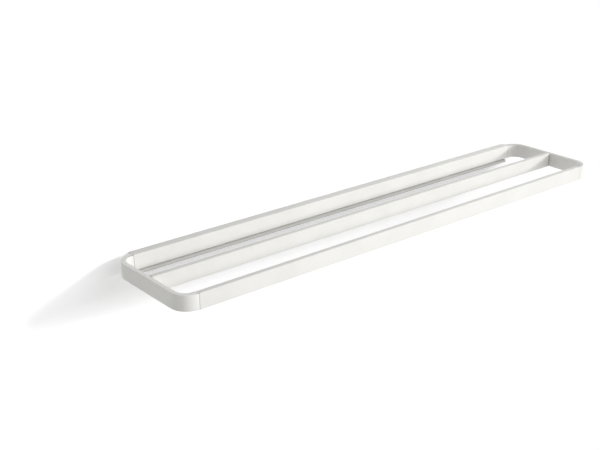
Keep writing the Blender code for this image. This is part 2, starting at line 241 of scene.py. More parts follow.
def lathe(profile: Sequence[Point], steps: int = TURNED_STEPS) -> Shape:
    """A solid turned about local Z.

    Args:
        profile: (radius, height) points, from the axis to the axis.
        steps: how many facets go round.

    Returns:
        The solid, with its normals outward.
    """
    shape = bmesh.new()
    rings: list[list[bmesh.types.BMVert]] = []
    for radius, height in profile:
        if radius <= MERGE_DISTANCE:
            rings.append([shape.verts.new((0, 0, height))])
            continue
        angles = [math.tau * step / steps for step in range(steps)]
        rings.append(
            [shape.verts.new((radius * math.cos(a), radius * math.sin(a), height)) for a in angles]
        )
    for ring, following in zip(rings, rings[1:]):
        for step in range(steps):
            after = (step + 1) % steps
            loop = [ring[step % len(ring)], ring[after % len(ring)]]
            loop += [following[after % len(following)], following[step % len(following)]]
            corners = list(dict.fromkeys(loop))
            if len(corners) > 2:
                shape.faces.new(corners)
    turn_outward(shape)
    return shape


def hard_edges(shape: Shape) -> list[Edge]:
    """The edges of a shape where two faces meet at more than the hard angle.

    Args:
        shape: the shape.

    Returns:
        The edges.
    """
    return [
        edge
        for edge in shape.edges
        if len(edge.link_faces) == 2 and edge.calc_face_angle(0.0) > HARD_ANGLE
    ]


def soften(shape: Shape, edges: Iterable[Edge], radius: float, segments: int) -> None:
    """Round some edges of a shape.

    Args:
        shape: the shape.
        edges: the edges to round.
        radius: how far the rounding reaches on each side.
        segments: how many facets it gets.
    """
    bmesh.ops.bevel(
        shape,
        geom=list(edges),
        offset=radius,
        offset_type="OFFSET",
        segments=segments,
        profile=0.5,
        affect="EDGES",
        clamp_overlap=False,
    )


def section_along_x() -> Matrix:
    """The turn that lays local X, Y and Z along world Y, Z and X."""
    return Matrix(((0, 0, 1, 0), (1, 0, 0, 0), (0, 1, 0, 0), (0, 0, 0, 1)))


def facing_out() -> Matrix:
    """The turn that points local Z straight out from the wall."""
    return Matrix.Rotation(QUARTER_TURN, 4, "X")


def bar_along_x(
    outlines: Sequence[Sequence[Point]],
    low: float,
    high: float,
    edge_radius: float,
    steps: int = SAWN_EDGE_STEPS,
) -> Shape:
    """A bar that runs along world X, with its sawn ends softened.

    Args:
        outlines: its section in Y and Z: the outer outline first, then any holes in it.
        low: where it starts along X.
        high: where it ends.
        edge_radius: rounding of the sawn ends.
        steps: how many facets that rounding gets.

    Returns:
        The bar, in world coordinates.
    """
    shape = prism(outlines, low, high)
    soften(shape, hard_edges(shape), edge_radius, steps)
    shape.transform(section_along_x())
    return shape


def box_middle(node: str) -> Vector:
    """The middle of a node's box."""
    low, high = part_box(node)
    return (low + high) / 2


@dataclass(frozen=True)
class Cut:
    """A Boolean that a piece needs.

    Attributes:
        kind: whether the shape is removed or joined on.
        shape: the second shape, in world coordinates.
    """

    kind: CutKind
    shape: Shape


class Graph:
    """A node tree, with short ways to add nodes and join them."""

    def __init__(self, tree: bpy.types.NodeTree) -> None:
        """Start an empty tree.

        Args:
            tree: the tree to fill.
        """
        self.tree = tree
        tree.nodes.clear()

    def add(self, kind: str, **settings: object) -> bpy.types.Node:
        """Add a node.

        Args:
            kind: the node's type, without its ShaderNode prefix.
            settings: values for its attributes.

        Returns:
            The node.
        """
        node = self.tree.nodes.new("ShaderNode" + kind)
        for name, value in settings.items():
            setattr(node, name, value)
        return node

    def join(self, source: Socket, target: Socket) -> None:
        """Join an output to an input."""
        self.tree.links.new(source, target)

    def feed(self, value: Socket | Colour | float, target: Socket) -> None:
        """Join an output to an input, or set the input to a colour or a number.

        Args:
            value: the output, the colour or the number.
            target: the input.
        """
        if isinstance(value, Socket):
            self.join(value, target)
        elif isinstance(value, tuple):
            target.default_value = (*value, 1)
        else:
            target.default_value = value

    def finish(self, shader: Socket, kind: str = "OutputMaterial") -> None:
        """Join a shader to an output node of the given kind."""
        self.join(shader, self.add(kind).inputs["Surface"])

    def maths(self, operation: str, *values: Socket | float) -> Socket:
        """The result of a Math node.

        Args:
            operation: what it does.
            values: its inputs in order.

        Returns:
            The result.
        """
        node = self.add("Math", operation=operation)
        for value, target in zip(values, node.inputs):
            self.feed(value, target)
        return node.outputs["Value"]

    def choose(self, share: Socket, first: Socket, second: Socket) -> Socket:
        """A mix of two shaders.

        Args:
            share: how much of the second shader shows.
            first: the shader at a share of 0.
            second: the shader at a share of 1.

        Returns:
            The mixed shader.
        """
        node = self.add("MixShader")
        for source, target in zip((share, first, second), node.inputs):
            self.join(source, target)
        return node.outputs["Shader"]

    def noise(self, place: Socket, size: float, detail: float = 2.0) -> Socket:
        """Smooth noise whose patches have a real size.

        Args:
            place: the coordinates in metres.
            size: the width of a patch in metres.
            detail: how many finer octaves it gets.

        Returns:
            The noise's value.
        """
        node = self.add("TexNoise")
        node.inputs["Scale"].default_value = 1 / size
        node.inputs["Detail"].default_value = detail
        self.join(place, node.inputs["Vector"])
        return node.outputs["Fac"]

    def spread(self, value: Socket, source: Point, target: Point = FULL_RANGE) -> Socket:
        """A value moved from one range to another.

        Args:
            value: the value.
            source: the range that it comes in.
            target: the range that it goes to.

        Returns:
            The moved value.
        """
        node = self.add("MapRange")
        names = ("From Min", "From Max", "To Min", "To Max")
        for name, end in zip(names, (*source, *target)):
            node.inputs[name].default_value = end
        self.join(value, node.inputs["Value"])
        return node.outputs["Result"]

    def blend(
        self,
        share: Socket,
        first: Socket | Colour | float,
        second: Socket | Colour | float,
        kind: str = "RGBA",
    ) -> Socket:
        """A mix of two colours, or of two numbers.

        Args:
            share: how much of the second one shows.
            first: the one at a share of 0.
            second: the one at a share of 1.
            kind: the kind of value, as MIX_SOCKETS names it.

        Returns:
            The mixed value.
        """
        first_place, second_place, result_place = MIX_SOCKETS[kind]
        node = self.add("Mix", data_type=kind)
        self.join(share, node.inputs[0])
        self.feed(first, node.inputs[first_place])
        self.feed(second, node.inputs[second_place])
        return node.outputs[result_place]

    def bump(self, height: Socket, depth: float, below: Socket | None = None) -> Socket:
        """A bump whose depth is a real length.

        Args:
            height: the height field, from 0 to 1.
            depth: the difference between its lowest and highest place, in metres.
            below: a bump that this one lies on.

        Returns:
            The bumped normal.
        """
        node = self.add("Bump")
        node.inputs["Distance"].default_value = depth
        self.join(height, node.inputs["Height"])
        if below is not None:
            self.join(below, node.inputs["Normal"])
        return node.outputs["Normal"]


def new_material(label: str) -> tuple[bpy.types.Material, Graph]:
    """A new material, and its empty node tree.

    Args:
        label: its name.

    Returns:
        The material and its node tree.
    """
    made = bpy.data.materials.new(label)
    made.use_nodes = True
    return made, Graph(made.node_tree)


class Finish(ABC):
    """A surface finish that dresses one or more pieces."""

    label: str

    @abstractmethod
    def dress(self, graph: Graph, place: Socket, shader: bpy.types.Node) -> None:
        """Fill in the shader's colour, roughness and normal.

        Args:
            graph: the material's node tree.
            place: the coordinates in metres.
            shader: the Principled shader.
        """

    def material(self) -> bpy.types.Material:
        """The finish's material, made at its first use.

        Returns:
            The material.
        """
        known = bpy.data.materials.get(self.label)
        if known is not None:
            return known
        made, graph = new_material(self.label)
        shader = graph.add("BsdfPrincipled")
        self.dress(graph, graph.add("TexCoord").outputs["Object"], shader)
        graph.finish(shader.outputs["BSDF"])
        return made


@dataclass(frozen=True)
class PowderCoat(Finish):
    """Baked polyester powder: satin, with a fine orange peel, a faint cloudiness and rubbed edges.

    Attributes:
        label: the material's name.
        colour: the coat where it lies thickest.
        thin_colour: the coat where it lies thinnest.
        worn_colour: the coat on edges that hands and towels have rubbed.
        cloud_size: width of the cloudy patches.
        cloud_detail: how many finer octaves they have.
        cloud_range: the noise where the coat starts to thin, and where it is thinnest.
        peel_size: width of one dimple of the orange peel.
        peel_depth: depth of the dimples.
        peel_range: the noise at the lowest and at the highest roughness.
        grain_size: width of the powder's own grain.
        grain_depth: depth of that grain.
        roughness: the lowest and highest roughness.
        worn_roughness: roughness of a rubbed edge.
        gloss: strength of its reflections, where 0.5 is plain plastic.
        wear_reach: how far from an edge the wear reaches.
        wear_samples: how closely the edges are felt for.
        edge_range: how alike a face and its rounded edge are where wear starts and is full.
        wear_size: width of the patches that the wear comes in.
        wear_detail: how many finer octaves they have.
        wear_range: the noise where a patch starts, and where it is full.
        wear_share: the wear between the patches and inside them.
    """

    label: str = "powder_coat_white"
    colour: Colour = (0.845, 0.84, 0.81)
    thin_colour: Colour = (0.815, 0.81, 0.78)
    worn_colour: Colour = (0.77, 0.76, 0.72)
    cloud_size: float = 0.035
    cloud_detail: float = 3.0
    cloud_range: Point = (0.35, 0.65)
    peel_size: float = 0.0016
    peel_depth: float = 0.000012
    peel_range: Point = (0.3, 0.7)
    grain_size: float = 0.0003
    grain_depth: float = 0.000004
    roughness: Point = (0.38, 0.50)
    worn_roughness: float = 0.30
    gloss: float = 0.3
    wear_reach: float = 0.0007
    wear_samples: int = 4
    edge_range: Point = (0.995, 0.93)
    wear_size: float = 0.006
    wear_detail: float = 4.0
    wear_range: Point = (0.4, 0.6)
    wear_share: Point = (0.2, 1.0)

    def dress(self, graph: Graph, place: Socket, shader: bpy.types.Node) -> None:
        """Fill in the shader for the powder coat.

        Args:
            graph: the material's node tree.
            place: the coordinates in metres.
            shader: the Principled shader.
        """
        shader.inputs["Specular IOR Level"].default_value = self.gloss
        worn = self.wear(graph, place)
        cloud = graph.noise(place, self.cloud_size, self.cloud_detail)
        coat = graph.blend(graph.spread(cloud, self.cloud_range), self.colour, self.thin_colour)
        graph.join(graph.blend(worn, coat, self.worn_colour), shader.inputs["Base Color"])
        peel = graph.noise(place, self.peel_size)
        grain = graph.noise(place, self.grain_size)
        satin = graph.spread(peel, self.peel_range, self.roughness)
        polished = graph.blend(worn, satin, self.worn_roughness, kind="FLOAT")
        graph.join(polished, shader.inputs["Roughness"])
        peeled = graph.bump(peel, self.peel_depth)
        graph.join(graph.bump(grain, self.grain_depth, peeled), shader.inputs["Normal"])

    def wear(self, graph: Graph, place: Socket) -> Socket:
        """How worn the coat is, from 0 on the flats to 1 on the most rubbed edges.

        Args:
            graph: the material's node tree.
            place: the coordinates in metres.

        Returns:
            The wear's value.
        """
        rounded = graph.add("Bevel", samples=self.wear_samples)
        rounded.inputs["Radius"].default_value = self.wear_reach
        same = graph.add("VectorMath", operation="DOT_PRODUCT")
        graph.join(rounded.outputs["Normal"], same.inputs[0])
        graph.join(graph.add("NewGeometry").outputs["True Normal"], same.inputs[1])
        edge = graph.spread(same.outputs["Value"], self.edge_range)
        noise = graph.noise(place, self.wear_size, self.wear_detail)
        patches = graph.spread(noise, self.wear_range, self.wear_share)
        return graph.maths("MULTIPLY", edge, patches)


def shaded_powder_for_rail() -> PowderCoat:
    """The rail's coat: the frame's coat made greyer, to paint in the shade on the ledge below the
    bar.

    Returns:
        The coat.
    """
    return PowderCoat(
        label="powder_coat_shaded_rail",
        # Greyer than the frame's coat: painted shade for the ledge under the back bar.
        colour=(0.665, 0.66, 0.64),
        thin_colour=(0.62, 0.615, 0.595),
        worn_colour=(0.58, 0.57, 0.54),
    )


@dataclass(frozen=True)
class TurnedSteel(Finish):
    """Stainless steel from a lathe: fine rings round the axis and a slight stain.

    Attributes:
        label: the material's name.
        colour: the bare metal.
        stained_colour: the metal where oil has dulled it.
        stain_size: width of the dulled patches.
        stain_range: the noise where a patch starts, and where it is dullest.
        groove_size: width of one tool groove.
        groove_depth: depth of the grooves.
        roughness: the lowest and highest roughness.
    """

    label: str = "turned_steel"
    colour: Colour = (0.66, 0.65, 0.63)
    stained_colour: Colour = (0.52, 0.51, 0.50)
    stain_size: float = 0.002
    stain_range: Point = (0.35, 0.7)
    groove_size: float = 0.00012
    groove_depth: float = 0.000004
    roughness: Point = (0.22, 0.38)

    def dress(self, graph: Graph, place: Socket, shader: bpy.types.Node) -> None:
        """Fill in the shader for the steel.

        Args:
            graph: the material's node tree.
            place: the coordinates in metres.
            shader: the Principled shader.
        """
        shader.inputs["Metallic"].default_value = 1.0
        stain = graph.spread(graph.noise(place, self.stain_size), self.stain_range)
        metal = graph.blend(stain, self.colour, self.stained_colour)
        graph.join(metal, shader.inputs["Base Color"])
        dulled = graph.spread(stain, FULL_RANGE, self.roughness)
        graph.join(dulled, shader.inputs["Roughness"])
        groove = graph.noise(place, self.groove_size)
        graph.join(graph.bump(groove, self.groove_depth), shader.inputs["Normal"])


@dataclass(frozen=True)
class MouldedNylon(Finish):
    """Grey nylon from a mould: waxy, with flow marks and a fine spark-eroded grain.

    Attributes:
        label: the material's name.
        colour: the plain nylon.
        flow_colour: the nylon along its flow marks.
        flow_size: width of the flow marks.
        flow_detail: how many finer octaves they have.
        flow_range: the noise where a mark starts, and where it is darkest.
        grain_size: width of the mould's grain.
        grain_depth: depth of that grain.
        roughness: the lowest and highest roughness.
    """

    label: str = "moulded_nylon"
    colour: Colour = (0.33, 0.34, 0.35)
    flow_colour: Colour = (0.27, 0.28, 0.29)
    flow_size: float = 0.004
    flow_detail: float = 4.0
    flow_range: Point = (0.35, 0.65)
    grain_size: float = 0.00025
    grain_depth: float = 0.00001
    roughness: Point = (0.46, 0.60)

    def dress(self, graph: Graph, place: Socket, shader: bpy.types.Node) -> None:
        """Fill in the shader for the nylon.

        Args:
            graph: the material's node tree.
            place: the coordinates in metres.
            shader: the Principled shader.
        """
        noise = graph.noise(place, self.flow_size, self.flow_detail)
        flow = graph.spread(noise, self.flow_range)
        nylon = graph.blend(flow, self.colour, self.flow_colour)
        graph.join(nylon, shader.inputs["Base Color"])
        waxy = graph.spread(flow, FULL_RANGE, self.roughness)
        graph.join(waxy, shader.inputs["Roughness"])
        grain = graph.noise(place, self.grain_size)
        graph.join(graph.bump(grain, self.grain_depth), shader.inputs["Normal"])


@dataclass
class Piece(ABC):
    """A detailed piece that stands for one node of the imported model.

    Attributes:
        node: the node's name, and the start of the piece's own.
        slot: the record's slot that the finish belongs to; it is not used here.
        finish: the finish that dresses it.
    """

    node: str
    slot: Slot
    finish: Finish

    @abstractmethod
    def body(self) -> Shape:
        """The piece before its Booleans, in world coordinates."""

    def cuts(self) -> list[Cut]:
        """The Booleans that finish the piece."""
        return []

    @property
    def low(self) -> Vector:
        """The node's lowest corner."""
        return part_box(self.node)[0]

    @property
    def high(self) -> Vector:
        """The node's highest corner."""
        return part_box(self.node)[1]

    @property
    def middle(self) -> Vector:
        """The middle of the node's box."""
        return box_middle(self.node)

    def make(self) -> bpy.types.Object:
        """Build the piece, dress it and hand it to the frame.

        Returns:
            The piece's object.
        """
        made = self.object_of(self.node + "_piece", self.body())
        for cut in self.cuts():
            self.apply(made, cut)
        mesh = made.data
        self.clean(mesh)
        mesh.materials.clear()
        mesh.materials.append(self.finish.material())
        mesh.shade_smooth()
        mesh.set_sharp_from_angle(angle=SMOOTH_ANGLE)
        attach(made, ROOT_BODY)
        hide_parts(self.node)
        LOG.info("%s: %d faces", made.name, len(mesh.polygons))
        return made

    @staticmethod
    def clean(mesh: bpy.types.Mesh) -> None:
        """Take out the slivers that Booleans leave, and close the pinholes behind them.

        Args:
            mesh: the mesh, which is changed in place.
        """
        shape = bmesh.new()
        shape.from_mesh(mesh)
        bmesh.ops.remove_doubles(shape, verts=shape.verts, dist=SLIVER_WIDTH)
        bmesh.ops.dissolve_degenerate(shape, edges=shape.edges, dist=SLIVER_WIDTH)
        open_edges = [edge for edge in shape.edges if edge.is_boundary]
        if open_edges:
            bmesh.ops.holes_fill(shape, edges=open_edges)
        turn_outward(shape)
        shape.to_mesh(mesh)
        shape.free()

    @staticmethod
    def object_of(name: str, shape: Shape) -> bpy.types.Object:
        """An object in the scene for a shape, which is freed.

        Args:
            name: the object's name.
            shape: the shape.

        Returns:
            The object.
        """
        mesh = bpy.data.meshes.new(name)
        shape.to_mesh(mesh)
        shape.free()
        made = bpy.data.objects.new(name, mesh)
        bpy.context.scene.collection.objects.link(made)
        return made

    def apply(self, piece: bpy.types.Object, cut: Cut) -> None:
        """Carry out one Boolean on a piece and remove the second shape.

        Args:
            piece: the piece.
            cut: the Boolean.
        """
        helper = self.object_of("helper", cut.shape)
        change = piece.modifiers.new("cut", "BOOLEAN")
        change.operation = cut.kind.value
        change.solver = "EXACT"
        change.object = helper
        graph = bpy.context.evaluated_depsgraph_get()
        before = piece.data
        piece.data = bpy.data.meshes.new_from_object(piece.evaluated_get(graph))
        piece.data.name = piece.name
        piece.modifiers.clear()
        bpy.data.meshes.remove(before)
        shape = helper.data
        bpy.data.objects.remove(helper)
        bpy.data.meshes.remove(shape)


@dataclass(frozen=True)
class Strip:
    """The strip that every visible member of the frame shares.

    Attributes:
        edge_radius: rounding of the long edges.
        cut_edge_radius: rounding of the bars' sawn ends.
        seam_edge_radius: rounding of the end pieces' edges at the seams.
        end_gap: how much shorter than its node a bar is at each end, which opens the seam.
        step: how far the end pieces' faces lie below those of the bars.
        side_wall: thickness of a hollow bar's sides.
        floor: thickness of its top and bottom.
        slot_radius: rounding inside the slot.
        clearance: gap that fitted pieces keep.
        tenon_length: how far a tenon stands out of an end piece.
        tenon_root: how far it starts inside the end piece.
        tenon_lead: rounding of the tenon's edges.
        tenon_side_steps: how many facets the rounding of its long edges gets.
        tenon_tip_steps: how many facets the rounding of its tip gets.
    """

    edge_radius: float = 0.0008
    cut_edge_radius: float = 0.0002
    seam_edge_radius: float = 0.00012
    end_gap: float = 0.00015
    step: float = 0.0002
    side_wall: float = 0.0015
    floor: float = 0.003
    slot_radius: float = 0.0003
    clearance: float = 0.0003
    tenon_length: float = 0.016
    tenon_root: float = 0.002
    tenon_lead: float = 0.0004
    tenon_side_steps: int = 4
    tenon_tip_steps: int = 3

    def slot(self, middle: float, thickness: float, low: float, high: float) -> list[Point]:
        """The outline of the slot inside a bar.

        Args:
            middle: the strip's middle, across it.
            thickness: the strip's thickness.
            low: the strip's bottom.
            high: the strip's top.

        Returns:
            The slot's points.
        """
        half = thickness / 2 - self.side_wall
        return rectangle(
            (middle - half, low + self.floor), (middle + half, high - self.floor), self.slot_radius
        )

    def bar(self, outlines: Sequence[Sequence[Point]], low: float, high: float) -> Shape:
        """A bar along world X that leaves a seam open at each end.

        Args:
            outlines: its outline in Y and Z, and that of its slot.
            low: X of its node's lower end.
            high: X of its node's higher end.

        Returns:
            The bar, in world coordinates.
        """
        gap = self.end_gap
        return bar_along_x(outlines, low + gap, high - gap, self.cut_edge_radius)


@dataclass
class HollowBar(Piece):
    """The front or the middle bar: an extruded strip with a slot right through it."""

    strip: Strip = field(default_factory=Strip)

    def body(self) -> Shape:
        """The bar before its Booleans, in world coordinates.

        Returns:
            The bar's shape.
        """
        low, high = self.low, self.high
        section = rectangle((low.y, low.z), (high.y, high.z), self.strip.edge_radius)
        middle = (low.y + high.y) / 2
        slot = self.strip.slot(middle, high.y - low.y, low.z, high.z)
        return self.strip.bar([section, slot], low.x, high.x)


@dataclass
class BackBar(Piece):
    """The back bar: a slotted strip whose top reaches back to the wall and ends in a tongue.

    Attributes:
        strip: the sizes that all strips share.
        thickness: thickness of the slotted strip.
        web: thickness of the top behind it.
        tongue: thickness of the tongue.
        tongue_drop: how far the tongue hangs below the bar's top.
        inner_radius: rounding of the profile's hidden corners.
        screw_radius: radius of the locking screw's hole.
        screw_depth: depth of that hole.
    """

    strip: Strip = field(default_factory=Strip)
    thickness: float = 0.006
    web: float = 0.0026
    tongue: float = 0.0018
    tongue_drop: float = 0.0075
    inner_radius: float = 0.0006
    screw_radius: float = 0.0023
    screw_depth: float = 0.0019

    def body(self) -> Shape:
        """The bar before its Booleans, in world coordinates.

        Returns:
            The bar's shape.
        """
        low, high = self.low, self.high
        inner = low.y + self.thickness
        tongue_front = high.y - self.tongue
        web_bottom = high.z - self.web
        tongue_bottom = high.z - self.tongue_drop
        edge = self.strip.edge_radius
        hidden = self.inner_radius
        section = outline(
            [
                Corner(low.y, low.z, edge),
                Corner(inner, low.z, hidden),
                Corner(inner, web_bottom, hidden),
                Corner(tongue_front, web_bottom, hidden),
                Corner(tongue_front, tongue_bottom, hidden),
                Corner(high.y, tongue_bottom, hidden),
                Corner(high.y, high.z, edge),
                Corner(low.y, high.z, edge),
            ]
        )
        slot = self.strip.slot(low.y + self.thickness / 2, self.thickness, low.z, high.z)
        return self.strip.bar([section, slot], low.x, high.x)

    def cuts(self) -> list[Cut]:
        """The hole that takes the tip of the locking screw.

        Returns:
            The Boolean for the hole.
        """
        bottom = self.low.z
        profile = [
            (0, bottom - CUT_OVERRUN),
            (self.screw_radius, bottom - CUT_OVERRUN),
            (self.screw_radius, bottom + self.screw_depth),
            (0, bottom + self.screw_depth),
        ]
        hole = lathe(profile)
        hole.transform(Matrix.Translation((0, self.low.y + self.thickness / 2, 0)))
        return [Cut(CutKind.REMOVE, hole)]


@dataclass
class EndPiece(Piece):
    """A U-shaped end casting with two large round corners and three tenons.

    Attributes:
        side: the end of the frame that it closes.
        strip: the sizes that all strips share.
        thickness: thickness of the casting.
        corner_radius: outer radius of the large corners.
        seam_setback: how far the seams lie inside the frame's end.
        middle_bar: the node whose bar butts on the casting's inner face.
    """

    side: Side = Side.LEFT
    strip: Strip = field(default_factory=Strip)
    thickness: float = 0.006
    corner_radius: float = 0.019
    seam_setback: float = 0.0195
    middle_bar: str = "middle_bar"

    @property
    def outer_x(self) -> float:
        """X of the casting's outer face."""
        return self.low.x if self.side is Side.LEFT else self.high.x

    @property
    def seam_x(self) -> float:
        """X of the seams to the front and the back bar."""
        return self.outer_x - self.side.value * self.seam_setback

    @property
    def inner_x(self) -> float:
        """X of the casting's inner face."""
        return self.outer_x - self.side.value * self.thickness

    def body(self) -> Shape:
        """The casting before its Booleans, in world coordinates.

        Returns:
            The casting's shape.
        """
        step = self.strip.step
        front, back = self.low.y + step, self.high.y - step
        inner_front = self.low.y + self.thickness - step
        inner_back = self.high.y - self.thickness + step
        outer = self.outer_x - self.side.value * step
        inner = self.inner_x + self.side.value * step
        outer_radius = self.corner_radius - step
        inner_radius = self.corner_radius - self.thickness + step
        plan = outline(
            [
                Corner(self.seam_x, front),
                Corner(outer, front, outer_radius, CORNER_STEPS),
                Corner(outer, back, outer_radius, CORNER_STEPS),
                Corner(self.seam_x, back),
                Corner(self.seam_x, inner_back),
                Corner(inner, inner_back, inner_radius, CORNER_STEPS),
                Corner(inner, inner_front, inner_radius, CORNER_STEPS),
                Corner(self.seam_x, inner_front),
            ]
        )
        shape = prism([plan], self.low.z + step, self.high.z - step)
        soften(shape, self.long_edges(shape), self.strip.edge_radius, QUARTER_STEPS)
        at_seam = [edge for edge in hard_edges(shape) if self.is_at_seam(edge)]
        soften(shape, at_seam, self.strip.seam_edge_radius, SAWN_EDGE_STEPS)
        return shape

    def cuts(self) -> list[Cut]:
        """The tenons for the front, the middle and the back bar.

        Returns:
            One Boolean for each tenon.
        """
        half = self.thickness / 2
        middle_low, middle_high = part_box(self.middle_bar)
        places = (
            (self.seam_x, self.low.y + half),
            (self.inner_x, (middle_low.y + middle_high.y) / 2),
            (self.seam_x, self.high.y - half),
        )
        return [Cut(CutKind.JOIN, self.tenon(x, y)) for x, y in places]

    def long_edges(self, shape: Shape) -> list[Edge]:
        """The top and bottom edges that run along the strip, without those across the seams."""
        level = [edge for edge in hard_edges(shape) if self.is_level(edge)]
        return [edge for edge in level if not self.is_at_seam(edge)]

    def is_at_seam(self, edge: Edge) -> bool:
        """Whether both ends of an edge lie in the plane of the seams."""
        return all(abs(vert.co.x - self.seam_x) < MERGE_DISTANCE for vert in edge.verts)

    @staticmethod
    def is_level(edge: Edge) -> bool:
        """Whether an edge lies level."""
        first, second = edge.verts
        return abs(first.co.z - second.co.z) < MERGE_DISTANCE

    def tenon(self, root_x: float, y: float) -> Shape:
        """One tenon, which stands out of the casting along X.

        Args:
            root_x: X of the face that it stands out of.
            y: its middle across the strip.

        Returns:
            The tenon's shape.
        """
        strip = self.strip
        half = self.thickness / 2 - strip.side_wall - strip.clearance
        lowest = self.low.z + strip.floor + strip.clearance
        highest = self.high.z - strip.floor - strip.clearance
        root = root_x + self.side.value * strip.tenon_root
        tip = root_x - self.side.value * strip.tenon_length
        lead = strip.tenon_lead
        section = rectangle((y - half, lowest), (y + half, highest), lead, strip.tenon_side_steps)
        ends = min(root, tip), max(root, tip)
        return bar_along_x([section], *ends, lead, strip.tenon_tip_steps)


@dataclass
class WallRail(Piece):
    """The rail on the wall: a leg, an upstand for the tongue, and a flange that shows as a ledge.

    Attributes:
        leg: thickness of the leg that lies on the wall.
        step: height of the step between the leg and the upstand.
        step_bottom: height of the step's lower side over the screws' line.
        upstand: thickness of the upstand.
        flange: thickness of the flange.
        lip_radius: rounding of the flange's front edges.
        lip_corner_radius: rounding of its front corners, seen from above.
        inner_radius: rounding of the profile's other corners.
        cut_edge_radius: rounding of the sawn ends.
        hole_radius: radius of the screw holes.
        sink_radius: radius of the countersinks at the face.
        screw_nodes: the nodes of the wall screws.
        lock_node: the node of the locking screw.
        lock_radius: radius of the locking screw's hole.
    """

    leg: float = 0.0024
    step: float = 0.0013
    step_bottom: float = 0.0041
    upstand: float = 0.0023
    flange: float = 0.0031
    lip_radius: float = 0.0014
    lip_corner_radius: float = 0.0030
    inner_radius: float = 0.0003
    cut_edge_radius: float = 0.00012
    hole_radius: float = 0.00205
    sink_radius: float = 0.0038
    screw_nodes: tuple[str, ...] = ("wall_screw_1", "wall_screw_2", "wall_screw_3", "wall_screw_4")
    lock_node: str = "locking_screw"
    lock_radius: float = 0.0023

    def body(self) -> Shape:
        """The rail before its Booleans, in world coordinates.

        Returns:
            The rail's shape.
        """
        low, high = self.low, self.high
        leg_front = high.y - self.leg
        upstand_front = leg_front - self.upstand
        leg_top = self.step_bottom + self.step
        flange_top = low.z + self.flange
        hidden = self.inner_radius
        section = outline(
            [
                Corner(high.y, low.z, hidden),
                Corner(high.y, leg_top, hidden),
                Corner(leg_front, leg_top, hidden),
                Corner(leg_front, high.z, hidden),
                Corner(upstand_front, high.z, hidden),
                Corner(upstand_front, self.step_bottom, hidden),
                Corner(leg_front, self.step_bottom, hidden),
                Corner(leg_front, flange_top, hidden),
                Corner(low.y, flange_top, self.lip_radius),
                Corner(low.y, low.z, self.lip_radius),
            ]
        )
        return bar_along_x([section], low.x, high.x, self.cut_edge_radius)

    def cuts(self) -> list[Cut]:
        """The flange's round corners, the countersunk holes and the locking screw's hole.

        Returns:
            One Boolean for each of them.
        """
        shapes = [self.corner_waste(side) for side in Side]
        shapes += [self.countersink(node) for node in self.screw_nodes]
        shapes.append(self.lock_hole())
        return [Cut(CutKind.REMOVE, shape) for shape in shapes]

    def corner_waste(self, side: Side) -> Shape:
        """What is taken away to round one front corner of the flange.

        Args:
            side: the end of the rail.

        Returns:
            The shape to remove.
        """
        end = self.low.x if side is Side.LEFT else self.high.x
        front = self.low.y
        outward = side.value
        radius = self.lip_corner_radius
        angles = [QUARTER_TURN * step / QUARTER_STEPS for step in range(QUARTER_STEPS + 1)]
        arc = [
            (
                end - outward * radius * (1 - math.sin(angle)),
                front + radius * (1 - math.cos(angle)),
            )
            for angle in angles
        ]
        outside = [
            (end + outward * CUT_OVERRUN, front + radius),
            (end + outward * CUT_OVERRUN, front - CUT_OVERRUN),
            (end - outward * radius, front - CUT_OVERRUN),
        ]
        low = self.low.z - CUT_OVERRUN
        return prism([arc + outside], low, self.low.z + self.flange + CUT_OVERRUN)

    def countersink(self, node: str) -> Shape:
        """The hole and the countersink of one wall screw.

        Args:
            node: the screw's node.

        Returns:
            The shape to remove.
        """
        cone = self.sink_radius - self.hole_radius
        shape = lathe(
            [
                (0, CUT_OVERRUN),
                (self.sink_radius, CUT_OVERRUN),
                (self.sink_radius, 0),
                (self.hole_radius, -cone),
                (self.hole_radius, -self.leg - CUT_OVERRUN),
                (0, -self.leg - CUT_OVERRUN),
            ]
        )
        middle = box_middle(node)
        middle.y = self.high.y - self.leg
        shape.transform(Matrix.Translation(middle) @ facing_out())
        return shape

    def lock_hole(self) -> Shape:
        """The locking screw's hole through the flange.

        Returns:
            The shape to remove.
        """
        bottom = self.low.z - CUT_OVERRUN
        top = self.low.z + self.flange + CUT_OVERRUN
        shape = lathe([(0, top), (self.lock_radius, top), (self.lock_radius, bottom), (0, bottom)])
        middle = box_middle(self.lock_node)
        shape.transform(Matrix.Translation((middle.x, middle.y, 0)))
        return shape


